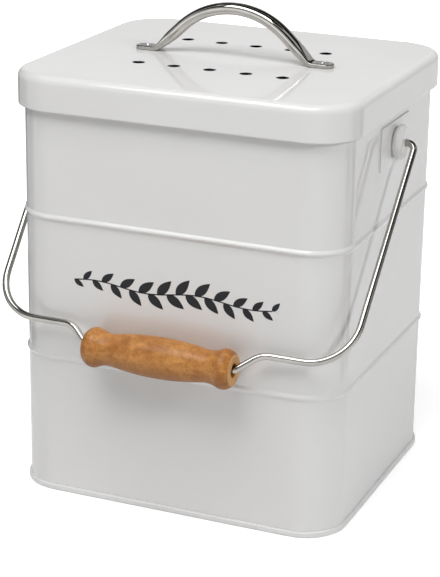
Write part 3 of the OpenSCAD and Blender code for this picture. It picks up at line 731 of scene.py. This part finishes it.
def handle_rings():
    """Rings of the lid's handle from tip to tip: an oval bar whose legs flatten into round-ended feet."""
    round_r = FOOT_W / 2
    rings = []
    for x, z, a, flat in handle_middle():
        ease = flat * flat * (3 - 2 * flat)
        thick = BAR_T + (FOOT_T - BAR_T) * ease
        wide = BAR_W + (FOOT_W - BAR_W) * ease
        past = x - (SCREW_X + FOOT_OUT - round_r)
        if flat == 1.0 and past > 0:
            wide = 2 * math.sqrt(max(round_r ** 2 - past ** 2, 0.02))
            thick -= 0.9 * (past / round_r) ** 8
        power = 2 / (2.5 + 4.5 * ease)
        ring = []
        for j in range(BAR_STEPS):
            b = 2 * math.pi * j / BAR_STEPS
            c, s = math.cos(b), math.sin(b)
            y = wide / 2 * math.copysign(abs(c) ** power, c)
            n = thick / 2 * math.copysign(abs(s) ** power, s)
            ring.append((x + n * math.sin(a), y, LID_TOP + z + n * math.cos(a)))
        rings.append(ring)
    left = [[(-x, y, z) for x, y, z in ring] for ring in rings[:0:-1]]
    return left + rings


DISC_STEPS = 48
# The countersunk seats in the feet, and the screws: radii, depth, lowest point, and turn of the cross recess
SCREW_R, SEAT_R, SEAT_R_TOP, SEAT_DEPTH = 2.0, 2.2, 4.0, 1.8
HEAD_R, SCREW_LOW, RECESS_TURN = 3.8, 245.6, 0.4


def disc_rings(x, heights_and_radii):
    """Level circles round an upright line at x."""
    turns = [2 * math.pi * i / DISC_STEPS for i in range(DISC_STEPS)]
    return [[(x + r * math.cos(a), r * math.sin(a), z) for a in turns] for z, r in heights_and_radii]


def lid_handle():
    """The drawn bar on the lid, with a countersunk seat in each foot."""
    bar = close(solid("lid_handle_bar", handle_rings(), steel))
    foot = LID_TOP + FOOT_T
    seat = ((LID_TOP - 1, SEAT_R), (foot - SEAT_DEPTH, SEAT_R), (foot, SEAT_R_TOP), (foot + 8, SEAT_R_TOP))
    cut(bar, *(solid("seat_cutter", disc_rings(side * SCREW_X, seat), steel) for side in (-1, 1)))
    settle(bar, "lid", "polished_steel", "lid_handle", crease=40)


lid_handle()


def screws():
    """Two countersunk screws with a cross recess."""
    foot = LID_TOP + FOOT_T
    profile = ((SCREW_LOW, SCREW_R - 0.5), (SCREW_LOW + 0.4, SCREW_R), (foot - SEAT_DEPTH, SCREW_R),
               (foot - 0.12, HEAD_R - 0.08), (foot - 0.02, HEAD_R), (foot, HEAD_R - 0.3), (foot, 1.0))
    pieces = []
    for side in (-1, 1):
        x = side * SCREW_X
        screw = close(solid("screw", disc_rings(x, profile), zinc))
        arms = []
        for turn in (RECESS_TURN, RECESS_TURN + math.pi / 2):
            along, across = Vector((math.cos(turn), math.sin(turn))), Vector((-math.sin(turn), math.cos(turn)))
            rings = []
            for z, reach, half in ((foot - 1.5, 0.7, 0.25), (foot + 0.2, 1.9, 0.42)):
                corners = [along * reach + across * half, along * -reach + across * half,
                           along * -reach - across * half, along * reach - across * half]
                rings.append([(x + c.x, c.y, z) for c in corners])
            arms.append(solid("recess_cutter", rings, zinc))
        pieces.append(cut(screw, *arms))
    settle(joined("countersunk_screws", *pieces), "lid", "plated_steel", "handle_screws", crease=30)


screws()
for name in ("screw_washers", "screw_nuts"):
    smoothed(name, name + "_plated", "lid", "plated_steel", zinc)
smoothed("lid_seal", "seal_ring", "lid", "seal_rubber", silicone_white)
smoothed("filter_frame", "filter_frame_moulding", "lid", "filter_plastic", filter_plastic)
smoothed("filter_tray", "filter_tray_moulding", "tray", "filter_plastic", filter_plastic)
smoothed("inner_bucket", "bucket_moulding", "bucket", "bucket_plastic", bucket_plastic)


# The pad's corner radius, and steps round a corner and along a side
PAD_R, PAD_ARC_STEPS, PAD_SIDE_STEPS = 4.5, 6, 16
# Rings over the pad's face, from its middle to its edge, and down the edge as (height share, inset)
PAD_FACE = (46.5, 41, 34, 27, 20, 14, 9, 5, 2.6)
PAD_EDGE = ((0.0, 1.1), (0.12, 0.5), (0.3, 0.12), (0.5, 0.0), (0.7, 0.1), (0.88, 0.5), (1.0, 1.1))


def pad_ring(wide, deep, r, height):
    """Points round a rectangle with round corners, with as many between the corners at every size."""
    ring = []
    corners = ((1, 1, 0), (-1, 1, 90), (-1, -1, 180), (1, -1, 270))
    for k, (x, y, start) in enumerate(corners):
        ring += arc(x * (wide - r), y * (deep - r), r, start, start + 90, PAD_ARC_STEPS)
        nx, ny, nstart = corners[(k + 1) % 4]
        ahead = arc(nx * (wide - r), ny * (deep - r), r, nstart, nstart, 1)[0]
        last = ring[-1]
        for i in range(1, PAD_SIDE_STEPS):
            share = i / PAD_SIDE_STEPS
            ring.append((last[0] + (ahead[0] - last[0]) * share, last[1] + (ahead[1] - last[1]) * share))
    return [(x, y, height) for x, y in ring]


def carbon_pad():
    """The felt pad in the tray: soft cut edges and a slightly uneven face."""
    low, high = (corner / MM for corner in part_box("carbon_filter"))
    size, middle = high - low, (high + low) / 2
    levels = [(0, inset) for inset in PAD_FACE] + [*PAD_EDGE] + [(1, inset) for inset in PAD_FACE[::-1]]
    rings = []
    for share, inset in levels:
        ring = pad_ring(size.x / 2 - inset, size.y / 2 - inset, max(PAD_R - inset, 0.9), low.z + share * size.z)
        for i, (x, y, z) in enumerate(ring):
            ripple = 0.16 * math.sin(x * 0.21 + 1.3 * math.sin(y * 0.13)) * math.cos(y * 0.19 + 0.7)
            hollow = (0.18 + ripple) * min(inset, 8) / 8
            ring[i] = (x + middle.x, y + middle.y, z - hollow if share > 0.5 else z + 0.6 * hollow)
        rings.append(ring)
    pad = solid("carbon_pad", rings, felt_black)
    settle(pad, "tray", "carbon_felt", "carbon_filter", crease=60)


carbon_pad()


# The bail and its grip

def in_bail_plane(across, out, side=0.0):
    """A point of the bail's own plane, in the object's frame."""
    return (across, -out * math.sin(BAIL_LEAN) - side * math.cos(BAIL_LEAN),
            PIVOT_Z - out * math.cos(BAIL_LEAN) + side * math.sin(BAIL_LEAN))


# Bend radii at the bail's corners, where it steps out to the grip, and at its ends, and that step's run
CORNER_BEND, KINK_BEND, END_BEND, KINK_RUN = 27, 14, 4.8, 13


def bail():
    """The bail's wire, from one boss over the grip to the other."""
    mouth, bar = GRIP_LEN / 2 - 0.05, LEG_OUT - LEG_DRAW
    half = [(BOSS_X + BOSS_LEN - SOCKET_DEPTH + 2 * SOCKET_GAP, 0, 0), (LEG_OUT, 0, END_BEND),
            (bar, BAR_REACH, CORNER_BEND), (mouth + KINK_RUN, BAR_REACH, KINK_BEND),
            (mouth, GRIP_REACH, END_BEND)]
    path = half + [(-x, out, bend) for x, out, bend in reversed(half)]
    points = [in_bail_plane(x, out) for x, out, _ in path]
    bends = ("bend", [bend for _, _, bend in path])
    wire = through_points.grow("bail_wire_bent", points, line(points), bends, radius=WIRE_D / 2 * MM, steps=14,
                               sides=24, finish=steel)
    settle(wire, "bail", "polished_steel", "bail_wire")


bail()


# Where the grip is thinnest and where its bulbs are widest, from its ends
WAIST_FROM_END, BULB_FROM_END = 15.5, 5.5
# Rings from end to end, how much the ends round off, and the bore's radius in its mouth and behind it
GRIP_RINGS, END_ROUND, MOUTH_R, BORE_R = 110, 0.5, 3.8, 2.4


def grip_radius(x):
    """Radius of the turned grip at a distance from its middle."""
    x = abs(x)
    waist, bulb = GRIP_LEN / 2 - WAIST_FROM_END, GRIP_LEN / 2 - BULB_FROM_END
    waist_arc = ((bulb - waist) ** 2 + (BULB_TOP - WAIST_R) ** 2) / (2 * (BULB_TOP - WAIST_R)) - BULB_R
    mid_arc = (waist ** 2 + (GRIP_R - WAIST_R) ** 2) / (2 * (GRIP_R - WAIST_R)) - waist_arc
    if x < waist * mid_arc / (mid_arc + waist_arc):
        return GRIP_R - mid_arc + math.sqrt(mid_arc ** 2 - x ** 2)
    if x < waist + (bulb - waist) * waist_arc / (waist_arc + BULB_R):
        return WAIST_R + waist_arc - math.sqrt(waist_arc ** 2 - (x - waist) ** 2)
    return BULB_TOP - BULB_R + math.sqrt(max(BULB_R ** 2 - (x - bulb) ** 2, 0))


def wooden_grip():
    """The turned grip with its bore, on the bail's middle."""
    half = GRIP_LEN / 2
    run = GRIP_LEN - 2 * END_ROUND
    places = [half - END_ROUND - run * i / GRIP_RINGS for i in range(GRIP_RINGS + 1)]
    outer = [(grip_radius(x), x) for x in places]
    end_r = outer[0][0] - END_ROUND
    mouth = [(MOUTH_R + 0.8, half), (MOUTH_R + 0.3, half - 0.3), (MOUTH_R, half - 0.8), (MOUTH_R, half - 6),
             (BORE_R, half - 6)]
    section = [(end_r, half)] + outer + [(end_r, -half)]
    section += [(r, -x) for r, x in mouth] + list(reversed(mouth))
    grip = lathe("grip_turned", section, wood_varnished, steps=96)
    y, z = in_bail_plane(0, GRIP_REACH)[1:]
    grip.data.transform(Matrix.Translation((0, y * MM, z * MM)) @ Matrix.Rotation(math.pi / 2, 4, "Y"))
    settle(grip, "grip", "turned_wood", "wooden_grip", crease=32)


wooden_grip()


# The printed sprig of leaves on the front

SPRIG_LEN, SPRIG_WAVE, SPRIG_LEAVES, SPRIG_PLACE = 122, 1.6, 22, (1, -BIN_D / 2 - 0.05, 134.8)
# One leaf's length and half width, its angle to the stem, and points along an edge
LEAF_LEN, LEAF_HALF, LEAF_TURN, LEAF_STEPS = 11.5, 2.5, 0.72, 13
STEM_HALF, STEM_POINTS, INK_FILM = 0.35, 121, 0.07


def leaf_sprig():
    """Leaves along a gently waving stem, laid on the front wall as a skin of ink."""
    tree = Growth("leaves_along_a_stem", length=float, wave=float, leaves=int, finish=bpy.types.Material)
    stem = tree.node("GeometryNodeCurvePrimitiveLine", {}, {"Start": (-0.5, 0, 0), "End": (0.5, 0, 0)})
    stem = tree.node("GeometryNodeResampleCurve", {}, {"Curve": stem, "Count": STEM_POINTS})
    where = tree.node("GeometryNodeInputPosition")
    x = tree.node("ShaderNodeSeparateXYZ", {}, [where]).part("X")
    rise = (x * 12).sine() * tree.size("wave")
    moved = tree.node("ShaderNodeCombineXYZ", {}, {"X": x * tree.size("length") - x, "Y": rise})
    stem = tree.node("GeometryNodeSetPosition", {}, {"Geometry": stem, "Offset": moved})
    points = tree.node("GeometryNodeCurveToPoints", {"mode": "COUNT"},
                       {"Curve": stem, "Count": tree.size("leaves")})
    order = tree.node("GeometryNodeInputIndex")
    side = order.math("MODULO", 2) * 2 - 1
    tangent = tree.node("ShaderNodeSeparateXYZ", {}, [points.part("Tangent")])
    lean = tangent.part("Y").math("ARCTAN2", tangent.part("X"))
    turn = tree.node("ShaderNodeCombineXYZ", {}, {"Z": lean + side * LEAF_TURN})
    share = order / (tree.size("leaves") - 1)
    size = 0.62 + 0.5 * (share * math.pi).sine()
    leaf = tree.node("GeometryNodeFillCurve", {"mode": "NGONS"}, [tree.line_as_curve()])
    leaves = tree.node("GeometryNodeInstanceOnPoints", {},
                       {"Points": points, "Instance": leaf, "Rotation": turn, "Scale": size})
    bar = tree.node("GeometryNodeCurvePrimitiveLine", {},
                    {"Start": (-STEM_HALF * MM, 0, 0), "End": (STEM_HALF * MM, 0, 0)})
    tree.ends(tree.node("GeometryNodeJoinGeometry", {}, [[leaves, tree.swept(stem, bar)]]))
    along = [i / LEAF_STEPS for i in range(1, LEAF_STEPS)]
    upper = [(LEAF_LEN * t, LEAF_HALF * math.sin(math.pi * t ** 0.8) ** 0.9, 0) for t in along]
    outline = [(0, 0, 0), *upper, (LEAF_LEN, 0, 0), *((x, -y, 0) for x, y, _ in reversed(upper))]
    sprig = tree.grow("leaf_sprig_print", outline, loop(outline), length=SPRIG_LEN * MM, wave=SPRIG_WAVE * MM,
                      leaves=SPRIG_LEAVES, finish=ink)
    sprig.data.transform(Matrix.Translation(Vector(SPRIG_PLACE) * MM) @ Matrix.Rotation(math.pi / 2, 4, "X"))
    thick = sprig.modifiers.new("film", "SOLIDIFY")
    thick.thickness, thick.offset = INK_FILM * MM, -1
    keep_shape(sprig)
    settle(sprig, "bin", "white_paint")


# The studio, in metres. Each softbox has its place, what it points at, its size and its watts.

SOFTBOXES = (("over_front", (-0.12, -0.6, 1.33), (0, 0, 0.15), (0.9, 0.8), 13.2, True),
             ("over_back", (-0.1, 1.15, 1.1), (0, 0, 0.15), (1.8, 1.0), 9.5, False),
             ("side_right", (1.42, -0.42, 0.95), (0.05, 0, 0.12), (0.34, 0.34), 7.6, False),
             ("low_front", (-0.55, -1.6, 0.22), (0, 0, 0.1), (1.4, 0.4), 1.5, True))
# Each black card runs from one bearing to another, from a low radius and height to a high one
FLAGS = ((92, 104, 0.3, 0.002, 0.6, 0.6), (111, 125, 0.3, 0.002, 0.6, 0.6), (172, 198, 0.3, 0.002, 0.6, 0.2),
         (240, 262, 0.3, 0.002, 0.6, 0.6), (268, 290, 0.3, 0.002, 0.6, 0.6), (120, 285, 1.45, 0.84, 1.1, 1.75),
         (-60, 105, 1.9, 1.1, 1.3, 1.75), (0, 360, 0.01, 1.9, 1.0, 1.8))
FLAG_STEPS = 12
# Light from all round, how bright reflections show the world and the floor, and half the floor's width
AMBIENT, WORLD_MIRRORED, FLOOR_MIRRORED, FLOOR_HALF = 0.1, 0.55, 0.5, 6


def softbox(name, place, aim, size, power, mirrored):
    """An area lamp, and whether reflections show it."""
    data = bpy.data.lights.new(name, "AREA")
    data.shape, data.size, data.size_y, data.energy = "RECTANGLE", *size, power
    light = added(name, data)
    light.location = place
    light.rotation_euler = (Vector(aim) - Vector(place)).to_track_quat("-Z", "Y").to_euler()
    light.visible_glossy = mirrored


def staged(name, points, faces, finish):
    """A piece of the studio, made as a plain mesh like the object's pieces."""
    card = faced(name, points, faces, finish)
    return card


def white_for_seen_rays(tree, in_reflections):
    """1 for the rays that show the background in the picture, and a share of that in reflections."""
    ray = tree.node("ShaderNodeLightPath")
    mirrored = ray.part("Is Glossy Ray").math("MAXIMUM", ray.part("Is Transmission Ray"))
    return ray.part("Is Camera Ray").math("MAXIMUM", mirrored * in_reflections)


def white_sweep():
    """White floor that keeps the bin's shadow near it and fades to clear white further off."""
    paper = Finish("white_sweep", Roughness=0.8)
    paper.set(Base_Color=paper.mixed(paper.noise(3, 2), (0.80, 0.80, 0.80), (0.82, 0.82, 0.82)))
    spot = paper.node("ShaderNodeSeparateXYZ", {}, [paper.place])
    away = (spot.part("X") ** 2 + spot.part("Y") ** 2) ** 0.5
    strength = white_for_seen_rays(paper, FLOOR_MIRRORED) * paper.step(away, 0.3, 1.4, 0.5, 0.9)
    glow = paper.node("ShaderNodeEmission", {}, {"Color": (1, 1, 1, 1), "Strength": strength})
    both = paper.node("ShaderNodeAddShader", {}, [paper.shader, glow])
    paper.tree.links.new(both.socket, paper.output.inputs["Surface"])
    return paper.material


def dark_flags():
    """Black cards round the bin that only reflections see; they draw the dark lines along the bright steel."""
    black = Finish("black_card", Roughness=0.9)
    black.set(Base_Color=black.mixed(black.noise(4, 2), (0.010, 0.010, 0.010), (0.016, 0.016, 0.016)))
    points, faces = [], []
    for start, end, low_r, low_z, high_r, high_z in FLAGS:
        for i in range(FLAG_STEPS + 1):
            a = math.radians(start + (end - start) * i / FLAG_STEPS)
            points += [(r * math.sin(a), -r * math.cos(a), z) for r, z in ((low_r, low_z), (high_r, high_z))]
            if i:
                n = len(points)
                faces.append((n - 4, n - 3, n - 1, n - 2))
    cards = staged("black_cards", points, faces, black.material)
    cards.visible_camera = cards.visible_diffuse = cards.visible_shadow = False


def studio():
    """White all round for the camera, soft lamps, and little light from anywhere else."""
    world = bpy.data.worlds.new("studio")
    scene.world = world
    world.use_nodes = True
    tree = Tree(world.node_tree)
    tree.tree.nodes.clear()
    strength = AMBIENT + (1 - AMBIENT) * white_for_seen_rays(tree, WORLD_MIRRORED)
    sky = tree.node("ShaderNodeBackground", {}, {"Color": (1, 1, 1, 1), "Strength": strength})
    tree.node("ShaderNodeOutputWorld", {}, {"Surface": sky})
    corners = [(x * FLOOR_HALF, y * FLOOR_HALF, 0) for x, y in ((-1, -1), (1, -1), (1, 1), (-1, 1))]
    staged("floor", corners, [(0, 1, 2, 3)], white_sweep())
    for lamp in SOFTBOXES:
        softbox(*lamp)
    dark_flags()


studio()
leaf_sprig()

scene.view_settings.view_transform = "Standard"
